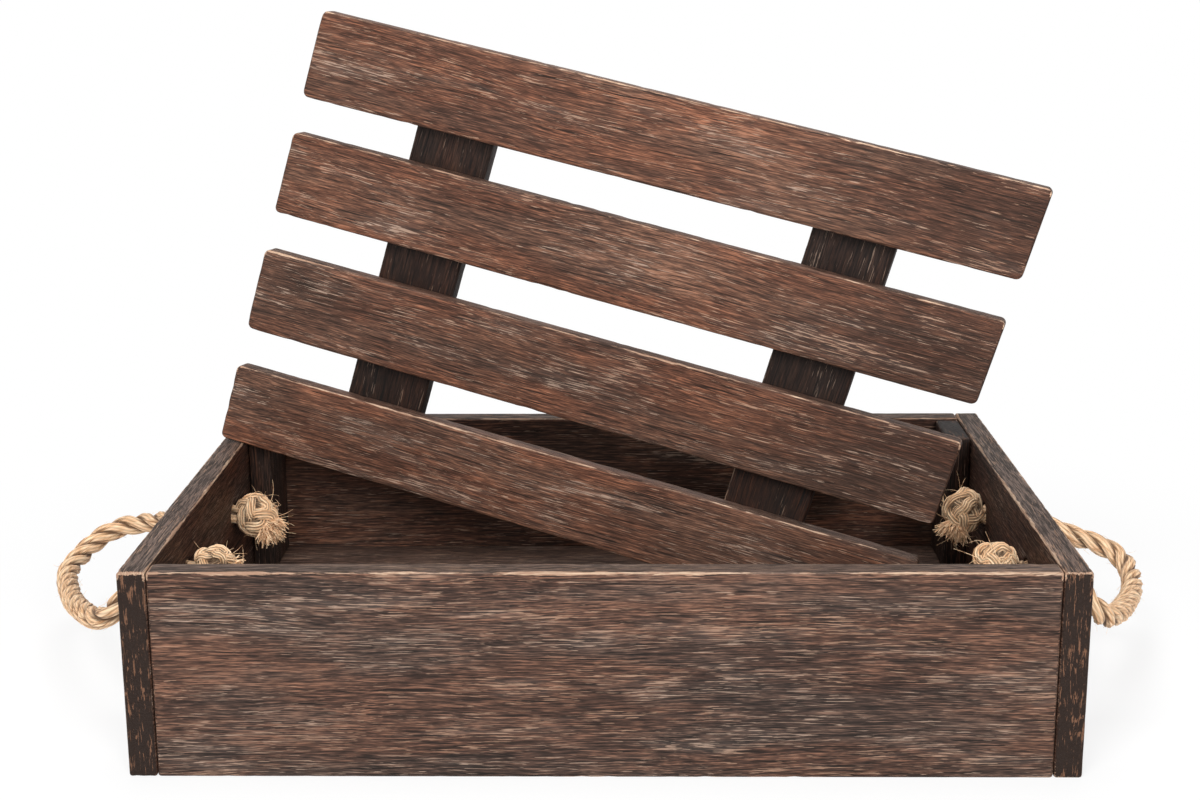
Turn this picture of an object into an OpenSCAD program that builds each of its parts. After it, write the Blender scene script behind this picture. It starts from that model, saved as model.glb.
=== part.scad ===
// Shallow wooden crate with a loose slatted lid that stands in it and a rope handle at each end.
// Origin: middle of the crate's footprint on the ground. X runs left to right, Y front to back, Z up.

/* [Crate] */
// Outside length of the crate, left to right
crate_w = 600; // [520:5:700]
// Outside depth of the crate, front to back
crate_d = 400; // [340:5:480]
// Height of the walls
crate_h = 136; // [110:1:170]
// Thickness of the wall boards
wall_t = 18; // [15:1:22]
// Rounding of every board's long arrises
arris_r = 2; // [1:0.5:3]
// Gap at the butt joint between an end board and a long wall
seam_gap = 0.3; // [0.2:0.1:0.6]

/* [Floor] */
// Thickness of the floor boards
floor_t = 18; // [12:1:20]
// Height of the floor's underside above the ground
floor_lift = 10; // [6:1:14]
// Gap between two floor boards
floor_gap = 1; // [0.5:0.5:3]

/* [Corner cleats] */
// Thickness of a cleat, measured along the crate
cleat_t = 18; // [15:1:22]
// Width of a cleat, measured front to back
cleat_w = 60; // [45:1:75]
// How far a cleat's top lies below the rim
cleat_drop = 1.5; // [1:0.5:6]

/* [Lid] */
// Play at each end of the lid when it lies in the crate between the end boards
lid_end_gap = 15; // [8:1:25]
// Thickness of the lid's slats
slat_t = 14; // [10:1:18]
// Width of each slat, the lowest first
slat_w = [60, 63.5, 62, 64.5]; // [50:0.5:75]
// Gap above each slat but the top one, the lowest first
slat_gap = [29, 28.5, 28]; // [10:0.5:40]
// Small turn of each slat out of line, the lowest first, in degrees
slat_skew = [0, 0.3, 0.5, 0.3]; // [-1:0.1:1]
// How far the battens and the slat ends lean off square, in degrees
lid_rack = 4.5; // [0:0.5:6]
// Width of a batten
batten_w = 60; // [45:1:70]
// Thickness of a batten
batten_t = 14; // [10:1:18]
// How far a batten's ends stay inside the lid's top and bottom edges
batten_inset = 5; // [2:0.5:15]
// Distance of each batten's middle from the ends of the slats
batten_setback = 117; // [80:1:160]

/* [Lid pose] */
// Turn of the lid about the upright, its right end towards the front, in degrees
lid_turn = 15; // [8:1:18]
// Lean of the lid towards the back, in degrees
lid_lean = 1.5; // [0:0.5:6]
// How far in front of the rear cleat the lid's slats cross the left end board
lid_cleat_gap = 2; // [1.5:0.5:20]
// Length of the lid's lowest slat that lies over the left end board
lid_overhang = 19.5; // [10:0.5:22]
// Clearance where the lid rests on the crate
rest_gap = 0.3; // [0.2:0.1:0.5]

/* [Rope handles] */
// Diameter of the rope
rope_d = 16; // [12:0.5:17]
// Clearance all round the rope in its holes
rope_gap = 2; // [1.5:0.25:3]
// Height of the rear rope holes above the ground
hole_z = 92; // [80:1:100]
// How much higher the front rope holes are
front_hole_lift = 7; // [0:1:10]
// Distance between the two holes of a handle
hole_spacing = 150; // [120:2:170]
// How far in front of the crate's middle each handle sits
handle_forward = 15; // [0:1:20]
// Diameter of the stopper knots
knot_d = 40; // [34:1:44]

/* [Screws] */
// Diameter of a screw's head
head_d = 8; // [6:0.5:9]
// Height of a screw's countersunk head
head_h = 2.6; // [2:0.1:3.5]
// Diameter of a screw's shank
shank_d = 4; // [3:0.5:4.5]
// Clearance all round a screw in its hole
screw_gap = 0.15; // [0.1:0.05:0.3]
// Length of the screws into the ends of the long walls and floor boards
end_screw_l = 45; // [38:1:50]
// Wood left between a screw's point and the far face of the last board
point_cover = 5; // [3:1:8]
// How far below its board's face a screw's head is sunk
head_sink = 0.4; // [0.2:0.1:0.8]
// Height of the lower corner screws above the ground, and of the upper ones below the rim
corner_screw_inset = 34; // [28:1:44]
// Distance of a cleat's screws from the cleat's ends
cleat_screw_inset = 24; // [18:1:32]
// Distance of each lid screw from the middle of its crossing, across and up
lid_screw_offset = [14, 12]; // [6:1:18]

/* [Hidden] */
$fn = 48;
floor_boards = 4;
cut_over = 1;
end_x = crate_w / 2;
inner_x = end_x - wall_t;
inner_y = crate_d / 2 - wall_t;
wall_l = 2 * (inner_x - seam_gap);
floor_top = floor_lift + floor_t;
floor_board_w = (2 * (inner_y - seam_gap) - (floor_boards - 1) * floor_gap) / floor_boards;
cleat_h = crate_h - cleat_drop - floor_top;
cleat_front = inner_y - seam_gap - cleat_w;
cleat_y = cleat_front + cleat_w / 2;
cleat_screw_l = wall_t + cleat_t - point_cover;
lid_screw_l = batten_t + slat_t - point_cover;
screw_point_h = 6;

slat_l = 2 * (inner_x - lid_end_gap);
batten_reach = slat_l / 2 - batten_setback;
// Heights of the slats' middles up the lid, and the whole lid's height
slat_mid = [for (i = [0 : 3]) slat_w[i] / 2 + below(i)];
lid_h = below(3) + slat_w[3];
rack = tan(lid_rack);
function below(i) = i == 0 ? 0 : below(i - 1) + slat_w[i - 1] + slat_gap[i - 1];

// The lid's lowest edge runs from the rounded rim of the left end board down to the floor. Its slope
// follows from the drop between the two and from the length of edge between them.
lid_rest_y = cleat_front - lid_cleat_gap - slat_t / cos(lid_turn);
edge_l = slat_l - lid_overhang;
rough_slope = asin((crate_h - floor_top) / edge_l);
rim_round = arris_r * (1 + tan(rough_slope) - 1 / cos(rough_slope));
rim_z = crate_h - rim_round + rest_gap;
lid_drop = rim_z - floor_top - rest_gap - slat_t * max(0, sin(lid_lean));
lid_slope = asin(lid_drop / (edge_l * cos(lid_lean)));

// Middles of each handle's holes, rear and front, as Y and Z
rear_hole = [hole_spacing / 2 - handle_forward, hole_z];
front_hole = [-hole_spacing / 2 - handle_forward, hole_z + front_hole_lift];
rope_hole_d = rope_d + 2 * rope_gap;
rope_sides = 10;
// How deep a knot is pressed flat against the end board
knot_flat = 2.5;
// Routes of the two loops: distance out from the end board, then Y and Z from the nearer hole
left_rear = [[14, 4, -2], [31, 17, -8], [49, 31, -15], [66, 39, -19], [82, 40, -23], [96, 34, -30],
    [105, 19, -37], [108, -4, -41], [103, -28, -42]];
left_front = [[94, 96, -47], [84, 70, -45], [72, 43, -41], [59, 17, -36], [47, -4, -32], [35, -18, -26],
    [24, -23, -16], [12, -9, -4]];
right_rear = [[14, 1, -2], [31, 5, -10], [49, 9, -18], [64, 12, -24], [77, 11, -29], [87, 2, -35],
    [89, -18, -40], [84, -43, -42]];
right_front = [[76, 82, -47], [66, 56, -43], [56, 30, -38], [45, 7, -33], [34, -12, -27], [23, -21, -17],
    [12, -8, -4]];

// Shapes that several pieces share

// A rectangle with round corners, of true arcs
module rounded_rect(a, b, r) {
    square([a - 2 * r, b], center = true);
    square([a, b - 2 * r], center = true);
    for (i = [-1, 1], j = [-1, 1]) translate([i * (a / 2 - r), j * (b / 2 - r)]) circle(r);
}

// A board lying along X, its width up Z and its thickness along Y, centred
module board(l, w, t) {
    r = min(arris_r, t / 3);
    rotate([90, 0, 90]) linear_extrude(l, center = true) rounded_rect(t, w, r);
}

// A screw that points down, its head's top at the origin; spare is added all round for its hole
module screw(l, spare = 0) {
    top = spare > 0 ? head_sink + cut_over : 0;
    rotate_extrude() polygon([[0, top], [head_d / 2 + spare, top], [head_d / 2 + spare, 0],
        [shank_d / 2 + spare, -head_h], [shank_d / 2 + spare, screw_point_h - l], [0, -l - spare]]);
}

// Puts screws or their holes on an end board's outside, at a height and a distance from the middle
module on_end(side, y, z) {
    translate([side * (end_x - head_sink), y, z]) rotate([0, side * 90, 0]) children();
}

module corner_screw_set(side, spare = 0) {
    for (j = [-1, 1], z = [corner_screw_inset, crate_h - corner_screw_inset])
        on_end(side, j * (crate_d - wall_t) / 2, z) screw(end_screw_l, spare);
}

module floor_screw_set(side, spare = 0) {
    for (i = [0 : floor_boards - 1])
        on_end(side, floor_board_y(i), floor_lift + floor_t / 2) screw(end_screw_l, spare);
}

module cleat_screw_set(side, spare = 0) {
    for (z = [floor_top + cleat_screw_inset, floor_top + cleat_h - cleat_screw_inset])
        on_end(side, cleat_y, z) screw(cleat_screw_l, spare);
}

// Walls, floor and cleats

module long_wall(side) {
    difference() {
        translate([0, side * (crate_d - wall_t) / 2, crate_h / 2]) board(wall_l, crate_h, wall_t);
        for (end = [-1, 1]) corner_screw_set(end, screw_gap);
    }
}

module end_board(side) {
    difference() {
        translate([side * (end_x - wall_t / 2), 0, crate_h / 2])
            rotate([0, 0, 90]) board(crate_d, crate_h, wall_t);
        for (hole = [rear_hole, front_hole])
            translate([side * (end_x - wall_t / 2), hole[0], hole[1]])
                rotate([0, 90, 0]) cylinder(d = rope_hole_d, h = wall_t + 2 * cut_over, center = true);
        corner_screw_set(side, screw_gap);
        floor_screw_set(side, screw_gap);
        cleat_screw_set(side, screw_gap);
    }
}

function floor_board_y(i) = -inner_y + seam_gap + floor_board_w / 2 + i * (floor_board_w + floor_gap);

module floor_board(i) {
    difference() {
        translate([0, floor_board_y(i), floor_lift + floor_t / 2])
            rotate([90, 0, 0]) board(wall_l, floor_board_w, floor_t);
        for (end = [-1, 1]) floor_screw_set(end, screw_gap);
    }
}

module cleat(side) {
    difference() {
        translate([side * (inner_x - seam_gap - cleat_t / 2), cleat_y, floor_top + cleat_h / 2])
            rotate([0, 90, 90]) board(cleat_h, cleat_w, cleat_t);
        cleat_screw_set(side, screw_gap);
    }
}

// The lid, in its own frame: X along its lowest front edge, Y into its thickness, Z up it

module place_lid() {
    translate([-inner_x, lid_rest_y, rim_z])
        rotate([0, 0, -lid_turn]) rotate([-lid_lean, 0, 0]) rotate([0, lid_slope, 0])
            translate([-lid_overhang, 0, 0]) children();
}

// The middles of the crossings of slat i and a batten, in the lid's frame
function crossing_x(i, side) = slat_l / 2 + side * batten_reach + rack * slat_mid[i];

module lid_screw_set(spare = 0) {
    for (i = [0 : 3], side = [-1, 1], k = [-1, 1])
        translate([crossing_x(i, side) + k * lid_screw_offset[0], slat_t + batten_t - head_sink,
            slat_mid[i] + k * lid_screw_offset[1]])
            rotate([-90, 0, 0]) screw(lid_screw_l, spare);
}

// A slat's ends follow the battens' lean, as they were sawn together
module slat(i) {
    place_lid() difference() {
        translate([slat_l / 2 + rack * slat_mid[i], slat_t / 2, slat_mid[i]])
            rotate([0, slat_skew[i], 0]) intersection() {
                board(slat_l + slat_w[i], slat_w[i], slat_t);
                rotate([90, 0, 0]) linear_extrude(slat_t + 2 * cut_over, center = true)
                    leaning_rect(slat_l, slat_w[i]);
            }
        lid_screw_set(screw_gap);
    }
}

module leaning_rect(l, h) {
    lean = rack * h / 2;
    polygon([[-l / 2 - lean, -h / 2], [l / 2 - lean, -h / 2], [l / 2 + lean, h / 2],
        [-l / 2 + lean, h / 2]]);
}

module batten(side) {
    place_lid() difference() {
        translate([slat_l / 2 + side * batten_reach + rack * lid_h / 2, slat_t + batten_t / 2, lid_h / 2])
            rotate([0, lid_rack + 90, 0])
                board(lid_h / cos(lid_rack) - 2 * batten_inset, batten_w, batten_t);
        lid_screw_set(screw_gap);
    }
}

// Rope handles

// Points given out from the end board and from a hole, in the crate's frame
function outward(side, points, hole) =
    [for (p = points) [side * (end_x + p[0]), hole[0] + p[1], hole[1] + p[2]]];

// The whole route of a rope, from its rear knot out, round and back to its front knot
function rope_route(side, rear, front) = concat(
    outward(side, [[-wall_t, 0, 0], [0, 0, 0]], rear_hole), outward(side, rear, rear_hole),
    outward(side, front, front_hole), outward(side, [[0, 0, 0], [-wall_t, 0, 0]], front_hole));

function unit(v) = v / norm(v);
function direction(route, i) =
    unit(route[min(i + 1, len(route) - 1)] - route[max(i - 1, 0)]);

// A ring of points round a route's point, square to the route
function ring(route, i) =
    let (along = direction(route, i), over = unit(cross(along, [0, 0, 1])), up = cross(over, along))
    [for (k = [0 : rope_sides - 1]) let (a = 360 * k / rope_sides)
        route[i] + rope_d / 2 * (cos(a) * over + sin(a) * up)];

module tube(route) {
    last = len(route) - 1;
    points = [for (i = [0 : last]) each ring(route, i)];
    walls = [for (i = [0 : last - 1], k = [0 : rope_sides - 1])
        let (a = i * rope_sides + k, b = i * rope_sides + (k + 1) % rope_sides)
        each [[a, b, b + rope_sides], [a, b + rope_sides, a + rope_sides]]];
    near_end = [[for (k = [rope_sides - 1 : -1 : 0]) k]];
    far_end = [[for (k = [0 : rope_sides - 1]) last * rope_sides + k]];
    polyhedron(points, concat(walls, near_end, far_end));
}

// Two stopper knots, each pressed flat against the end board's inside
module knots(side) {
    for (hole = [rear_hole, front_hole])
        translate([side * (inner_x - knot_d / 2 + knot_flat), hole[0], hole[1]])
            rotate([0, side * 90, 0]) rotate_extrude() intersection() {
                circle(d = knot_d);
                translate([0, -knot_d / 2]) square([knot_d / 2, knot_d - knot_flat]);
            }
}

// The pieces, each in its colour

wood = "#4a3228";
dark_wood = "#33231d";
jute = "#b8935f";
steel = "#8a8782";

module front_board() { color(wood) long_wall(-1); }
module back_board() { color(wood) long_wall(1); }
module left_end_board() { color(wood) end_board(-1); }
module right_end_board() { color(wood) end_board(1); }
module rear_left_cleat() { color(dark_wood) cleat(-1); }
module rear_right_cleat() { color(dark_wood) cleat(1); }
module floor_board_1() { color(dark_wood) floor_board(0); }
module floor_board_2() { color(dark_wood) floor_board(1); }
module floor_board_3() { color(dark_wood) floor_board(2); }
module floor_board_4() { color(dark_wood) floor_board(3); }
module lid_slat_1() { color(wood) slat(0); }
module lid_slat_2() { color(wood) slat(1); }
module lid_slat_3() { color(wood) slat(2); }
module lid_slat_4() { color(wood) slat(3); }
module lid_batten_left() { color(dark_wood) batten(-1); }
module lid_batten_right() { color(dark_wood) batten(1); }
module left_rope() { color(jute) tube(rope_route(-1, left_rear, left_front)); }
module right_rope() { color(jute) tube(rope_route(1, right_rear, right_front)); }
module left_rope_knots() { color(jute) knots(-1); }
module right_rope_knots() { color(jute) knots(1); }
module corner_screws() { color(steel) for (side = [-1, 1]) corner_screw_set(side); }
module floor_screws() { color(steel) for (side = [-1, 1]) floor_screw_set(side); }
module cleat_screws() { color(steel) for (side = [-1, 1]) cleat_screw_set(side); }
module lid_screws() { color(steel) place_lid() lid_screw_set(); }

front_board();
back_board();
left_end_board();
right_end_board();
rear_left_cleat();
rear_right_cleat();
floor_board_1();
floor_board_2();
floor_board_3();
floor_board_4();
lid_slat_1();
lid_slat_2();
lid_slat_3();
lid_slat_4();
lid_batten_left();
lid_batten_right();
left_rope();
right_rope();
left_rope_knots();
right_rope_knots();
corner_screws();
floor_screws();
cleat_screws();
lid_screws();
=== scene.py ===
# Looks of a shallow timber crate: dark stained boards worn at their arrises, a loose slatted lid
# that stands in it, and a laid jute rope handle at each end. Metres, Z up, in the CAD's frame.
import math
from random import Random

import bmesh
import bpy
import numpy as np
from bpy.props import FloatProperty, FloatVectorProperty, IntProperty, PointerProperty
from mathutils import Euler, Matrix, Vector, noise


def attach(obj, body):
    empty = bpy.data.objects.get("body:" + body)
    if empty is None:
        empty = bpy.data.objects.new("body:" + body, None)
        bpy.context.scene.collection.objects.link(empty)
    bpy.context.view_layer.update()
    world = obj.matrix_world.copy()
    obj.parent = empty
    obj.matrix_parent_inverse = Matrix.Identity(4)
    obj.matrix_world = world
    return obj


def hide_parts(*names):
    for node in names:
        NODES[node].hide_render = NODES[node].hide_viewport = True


bl_info = {
    "name": "Timber Crate",
    "version": (1, 0, 0),
    "blender": (4, 5, 0),
    "location": "3D View > Sidebar > Crate",
    "description": "Dresses a stained timber crate with a slatted lid and rope handles",
    "category": "Object",
}

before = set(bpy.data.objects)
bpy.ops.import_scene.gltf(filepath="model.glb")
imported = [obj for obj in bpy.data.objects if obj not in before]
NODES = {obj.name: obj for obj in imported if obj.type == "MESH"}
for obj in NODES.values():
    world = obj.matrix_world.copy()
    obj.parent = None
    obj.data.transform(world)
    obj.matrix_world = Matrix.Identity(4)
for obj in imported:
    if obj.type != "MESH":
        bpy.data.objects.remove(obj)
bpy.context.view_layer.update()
MM = 0.001
UP = Vector((0, 0, 1))


# What a user may change


def colour_setting(name, description, *rgb):
    return FloatVectorProperty(name=name, description=description, subtype="COLOR", default=rgb,
                               min=0, max=1)


def length_setting(name, description, default, low, high):
    """A length, given in millimetres"""
    return FloatProperty(name=name, description=description, unit="LENGTH", default=default * MM,
                         min=low * MM, max=high * MM)


class TimberSettings(bpy.types.PropertyGroup):
    groove: colour_setting("Groove", "Colour deep in the brushed grain", 0.020, 0.013, 0.010)
    stain: colour_setting("Stain", "Colour where the stain is thick", 0.058, 0.035, 0.027)
    brown: colour_setting("Brown", "Colour where the stain is thin", 0.135, 0.078, 0.056)
    worn: colour_setting("Worn", "Colour of the raised fibres", 0.34, 0.20, 0.14)
    wash: colour_setting("Grey wash", "Colour of the grey bloom on the stain", 0.150, 0.117, 0.101)
    pale: colour_setting("Pale streak", "Colour of the palest streaks", 0.49, 0.345, 0.26)
    bare: colour_setting("Bare wood", "Colour where the stain is brushed off", 0.50, 0.30, 0.20)
    cream: colour_setting("Cream arris", "Colour of the most worn arrises", 0.80, 0.57, 0.40)
    arris: length_setting("Arris", "Rounding of the boards' long edges", 2.0, 0.5, 3)
    corner: length_setting("Slat corner", "Rounding of the lid slats' corners", 4.2, 1, 5)
    chip: length_setting("Chips", "Depth of the deepest chips along an edge", 0.6, 0, 2)


class RopeSettings(bpy.types.PropertyGroup):
    diameter: length_setting("Diameter", "Diameter of the laid rope", 16, 12, 17)
    lay: length_setting("Lay", "Length in which a strand goes once round", 54, 30, 70)
    fibres: IntProperty(name="Fibres", description="Loose fibres on one knot",
                        default=60, min=0, max=90)
    pale: colour_setting("Pale jute", "Colour of the palest fibres", 0.95, 0.70, 0.46)
    jute: colour_setting("Jute", "Colour of most fibres", 0.82, 0.50, 0.28)
    shade: colour_setting("Jute shade", "Colour between the fibres", 0.21, 0.098, 0.040)


class StudioSettings(bpy.types.PropertyGroup):
    lens: FloatProperty(name="Lens", description="Focal length on a 36 mm wide sensor",
                        default=56.36, min=20, max=200)
    floor: colour_setting("Floor", "Colour of the floor and backdrop", 0.94, 0.94, 0.94)


def settings():
    scene = bpy.context.scene
    return scene.crate_timber, scene.crate_rope, scene.crate_studio


# Mesh helpers


def deselect_all():
    if bpy.context.object and bpy.context.object.mode != "OBJECT":
        bpy.ops.object.mode_set(mode="OBJECT")
    bpy.ops.object.select_all(action="DESELECT")


def activate(obj):
    deselect_all()
    obj.select_set(True)
    bpy.context.view_layer.objects.active = obj


def edit_edges(obj, wanted, change, **values):
    """Runs a mesh operator on the wanted edges alone"""
    activate(obj)
    bpy.ops.object.mode_set(mode="EDIT")
    bpy.ops.mesh.select_mode(type="EDGE")
    bpy.ops.mesh.select_all(action="DESELECT")
    mesh = bmesh.from_edit_mesh(obj.data)
    for edge in mesh.edges:
        if wanted(edge):
            edge.select_set(True)
    bmesh.update_edit_mesh(obj.data)
    change(**values)
    bpy.ops.object.mode_set(mode="OBJECT")


def cut_away(obj, cutter):
    """Cuts one object out of another, and removes it"""
    activate(obj)
    bpy.ops.object.modifier_add(type="BOOLEAN")
    modifier = obj.modifiers[-1]
    modifier.object, modifier.operation, modifier.solver = cutter, "DIFFERENCE", "EXACT"
    bpy.ops.object.modifier_apply(modifier=modifier.name)
    bpy.data.objects.remove(cutter)


def add_primitive(kind, **values):
    deselect_all()
    getattr(bpy.ops.mesh, f"primitive_{kind}_add")(**values)
    return bpy.context.object


def add_object(name, data):
    obj = bpy.data.objects.new(name, data)
    bpy.context.scene.collection.objects.link(obj)
    return obj


def join_objects(objects):
    """Joins some objects into the first one"""
    deselect_all()
    for obj in objects:
        obj.select_set(True)
    bpy.context.view_layer.objects.active = objects[0]
    if len(objects) > 1:
        bpy.ops.object.join()
    return objects[0]


def mesh_object(name, points, faces):
    mesh = bpy.data.meshes.new(name)
    mesh.from_pydata([tuple(p) for p in points], [], faces)
    mesh.update()
    return add_object(name, mesh)


def set_vectors(obj, name, rows):
    layer = obj.data.attributes.new(name, "FLOAT_VECTOR", "POINT")
    layer.data.foreach_set("vector", np.asarray(rows, dtype=np.float32).ravel())


def finish_piece(obj, slot, *nodes):
    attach(obj, "root")
    if nodes:
        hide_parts(*nodes)
    return obj


# Sawn boards: every board is measured on its CAD node, then modelled afresh in its own frame


def points_of(mesh):
    return np.array([v.co[:] for v in mesh.vertices])


# A board's upper edge is the one that faces up, or back on a board that lies flat
UP_AND_BACK = (0.0, 0.3, 1.0)


class Board:
    """Middle, axes, sizes and end lean of a board, read from its CAD node. Its axes run with the
    grain, across the board, and out of its show face."""

    def __init__(self, node, outward):
        mesh = NODES[node].data
        points = points_of(mesh)
        normals = np.array([p.normal for p in mesh.polygons])
        areas = np.array([p.area for p in mesh.polygons])
        out = self._widest(normals, areas, None)
        across = self._widest(normals, areas, out)
        out *= 1 if out @ np.array(outward) > 0 else -1
        across *= 1 if across @ np.array(UP_AND_BACK) > 0 else -1
        along = np.cross(across, out)
        ends = normals @ along > 0.9
        end = (normals[ends] * areas[ends, None]).sum(0)
        self.lean = -(end @ across) / (end @ along)
        u, v, w = points @ along, points @ across, points @ out
        v_mid, w_mid = (v.min() + v.max()) / 2, (w.min() + w.max()) / 2
        u = u - self.lean * (v - v_mid)
        self.size = Vector((np.ptp(u), np.ptp(v), np.ptp(w)))
        self.axes = np.array([along, across, out])
        self.middle = (u.min() + u.max()) / 2 * along + v_mid * across + w_mid * out

    @staticmethod
    def _widest(normals, areas, beside):
        """The direction that the largest area faces, square to another one where that is given"""
        best, most = None, 0
        for k in np.argsort(-areas)[:40]:
            n = normals[k]
            if beside is not None and abs(n @ beside) > 0.01:
                continue
            area = areas[np.abs(normals @ n) > 0.9999].sum()
            if area > most:
                best, most = n, area
        return best / np.linalg.norm(best)

    def matrix(self):
        turn = Matrix(self.axes.tolist()).transposed().to_4x4()
        shear = Matrix.Identity(4)
        shear[0][1] = self.lean
        return Matrix.Translation(Vector(self.middle.tolist())) @ turn @ shear

    def local(self, points):
        place = (points - self.middle) @ self.axes.T
        place[:, 0] -= self.lean * place[:, 1]
        return place


GRID = 3 * MM
WIDE_GRID = 6 * MM
# A bevelled edge is one whose faces meet at more than this angle
SHARP = math.radians(30)


def saw_board(name, board, arris, corner=0.0):
    """A board with rounded arrises and a fine grid of faces, in its own frame"""
    obj = add_primitive("cube", size=1)
    obj.name = obj.data.name = name
    obj.scale = board.size
    bpy.ops.object.transform_apply(location=False, rotation=False, scale=True)
    for axis, step in ((0, GRID), (1, WIDE_GRID), (2, WIDE_GRID)):
        def runs_with(edge):
            d = edge.verts[1].co - edge.verts[0].co
            return abs(d[axis]) > 0.99 * d.length
        cuts = max(1, round(board.size[axis] / step) - 1)
        edit_edges(obj, runs_with, bpy.ops.mesh.subdivide, number_cuts=cuts + 1 - cuts % 2)
    half = board.size / 2
    near = 0.01 * MM
    if corner:
        def at_corner(edge):
            return all(abs(abs(v.co.x) - half.x) < near and abs(abs(v.co.y) - half.y) < near
                       for v in edge.verts)
        edit_edges(obj, at_corner, bpy.ops.mesh.bevel, offset=corner, segments=5, profile=0.5)
    edit_edges(obj, lambda e: len(e.link_faces) == 2 and e.calc_face_angle(0) > SHARP,
               bpy.ops.mesh.bevel, offset=arris, segments=3, profile=0.5)
    return obj


# Wear of the arrises: how far it reaches into a face, how near a face has to be to draw a point
# inward, and how often the long waves, the chips and the dents repeat in a metre
CHIP_REACH = 4 * MM
EDGE_ZONE = 5 * MM
LONG_WAVES, CHIP_WAVES, DENT_WAVES = 18, 120, 260
# Height of the faces' own waves
FACE_WAVE = 0.12 * MM


def wear_edges(obj, board, chip, seed):
    """Takes small chips and dents out of the arrises, and makes the faces very slightly uneven"""
    half = np.array(board.size) / 2
    # The middle one of a point's gaps to the three pairs of faces is its distance from an edge
    reach = np.sort(half - np.abs(points_of(obj.data)), axis=1)[:, 1]
    shift = Vector((seed * 1.7, seed * 0.6, -seed * 1.1))
    for vert, gap in zip(obj.data.vertices, reach):
        here = vert.co + shift
        if gap < CHIP_REACH:
            chips = noise.noise(here * CHIP_WAVES + Vector((0, 0, 7))) - 0.22
            chips = max(0.0, chips - 0.25 * noise.noise(here * LONG_WAVES))
            dents = max(0.0, noise.noise(here * DENT_WAVES) - 0.1)
            depth = min(chip, (chips * 2.4 + dents * 0.45) * chip) * (1 - gap / CHIP_REACH)
            inward = Vector([-math.copysign(1.0, c) if h - abs(c) < EDGE_ZONE else 0.0
                             for c, h in zip(vert.co, half)])
            inward.x *= 0.6
            vert.co += inward * depth
        else:
            vert.co.z += FACE_WAVE * noise.noise(Vector((here.x * 12, here.y * 60, here.z)))


def mark_board(obj, board, seed):
    """Writes the attributes that a board's material reads"""
    place = board.local(points_of(obj.data))
    count = len(place)
    set_vectors(obj, "place", place)
    set_vectors(obj, "half", np.tile(np.array(board.size) / 2, (count, 1)))
    random = Random(seed)
    set_vectors(obj, "shift", np.tile([random.uniform(-9, 9) for _ in range(3)], (count, 1)))


def shade(obj, degrees=32):
    activate(obj)
    bpy.ops.object.shade_smooth_by_angle(angle=math.radians(degrees))


def cut_holes(obj, holes):
    """Cuts round holes, each given by its middle, direction, radius and depth to both sides"""
    cutters = []
    for middle, direction, radius, depth in holes:
        turn = UP.rotation_difference(Vector(direction)).to_euler()
        cutters.append(add_primitive("cylinder", vertices=40, radius=radius, depth=2 * depth,
                                     location=middle, rotation=turn))
    cut_away(obj, join_objects(cutters))


def make_board(node, outward, materials, seed, corner=0.0, arris=None, holes=(), inside=None):
    """A whole board in its place. Its faces that look towards inside take the second material."""
    timber = settings()[0]
    board = Board(node, outward)
    obj = saw_board(node + "_wood", board, arris or timber.arris, corner)
    wear_edges(obj, board, timber.chip, seed)
    obj.data.transform(board.matrix())
    obj.data.update()
    if holes:
        cut_holes(obj, holes)
    mark_board(obj, board, seed)
    shade(obj)
    for material in materials:
        obj.data.materials.append(material)
    if inside is not None:
        for face in obj.data.polygons:
            face.material_index = 1 if face.normal @ Vector(inside) > 0.75 else 0
    slot = "dark_wood" if materials[0].name.startswith("Unworn") else "stained_wood"
    return finish_piece(obj, slot, node)


# Shader helpers


def set_inputs(tree, node, values):
    for key, value in values.items():
        if isinstance(value, bpy.types.NodeSocket):
            tree.links.new(value, node.inputs[key])
        else:
            node.inputs[key].default_value = value
    return node


def add_node(tree, kind, values=None, **settings_of):
    node = tree.nodes.new(kind)
    for key, value in settings_of.items():
        setattr(node, key, value)
    return set_inputs(tree, node, values or {})


def math_node(tree, operation, a, b=0.0, clamp=False):
    return add_node(tree, "ShaderNodeMath", {0: a, 1: b}, operation=operation,
                    use_clamp=clamp).outputs[0]


def plus(tree, total, *others):
    for value in others:
        total = math_node(tree, "ADD", total, value)
    return total


def minus(tree, a, b):
    return math_node(tree, "SUBTRACT", a, b)


def times(tree, a, b):
    return math_node(tree, "MULTIPLY", a, b)


def vector_node(tree, operation, a, b=(0, 0, 0)):
    return add_node(tree, "ShaderNodeVectorMath", {0: a, 1: b}, operation=operation).outputs[0]


def parts_of(tree, vector):
    return add_node(tree, "ShaderNodeSeparateXYZ", {0: vector}).outputs


def mix_colour(tree, factor, a, b, blend="MIX"):
    return add_node(tree, "ShaderNodeMix", {0: factor, 6: a, 7: b}, data_type="RGBA",
                    blend_type=blend).outputs[2]


def ramp(tree, value, low, high, to_low=0.0, to_high=1.0):
    return add_node(tree, "ShaderNodeMapRange",
                    {0: value, 1: low, 2: high, 3: to_low, 4: to_high},
                    interpolation_type="SMOOTHSTEP").outputs[0]


def noise_node(tree, vector, stretch, detail=3.0, roughness=0.5, distortion=0.0, output="Fac"):
    """Noise whose stretch says how often it repeats in a metre along each axis"""
    return add_node(tree, "ShaderNodeTexNoise",
                    {"Vector": vector_node(tree, "MULTIPLY", vector, stretch), "Scale": 1.0,
                     "Detail": detail, "Roughness": roughness,
                     "Distortion": distortion}).outputs[output]


def bump(tree, height, strength, distance):
    return add_node(tree, "ShaderNodeBump", {"Height": height, "Strength": strength,
                                             "Distance": distance}).outputs[0]


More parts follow.
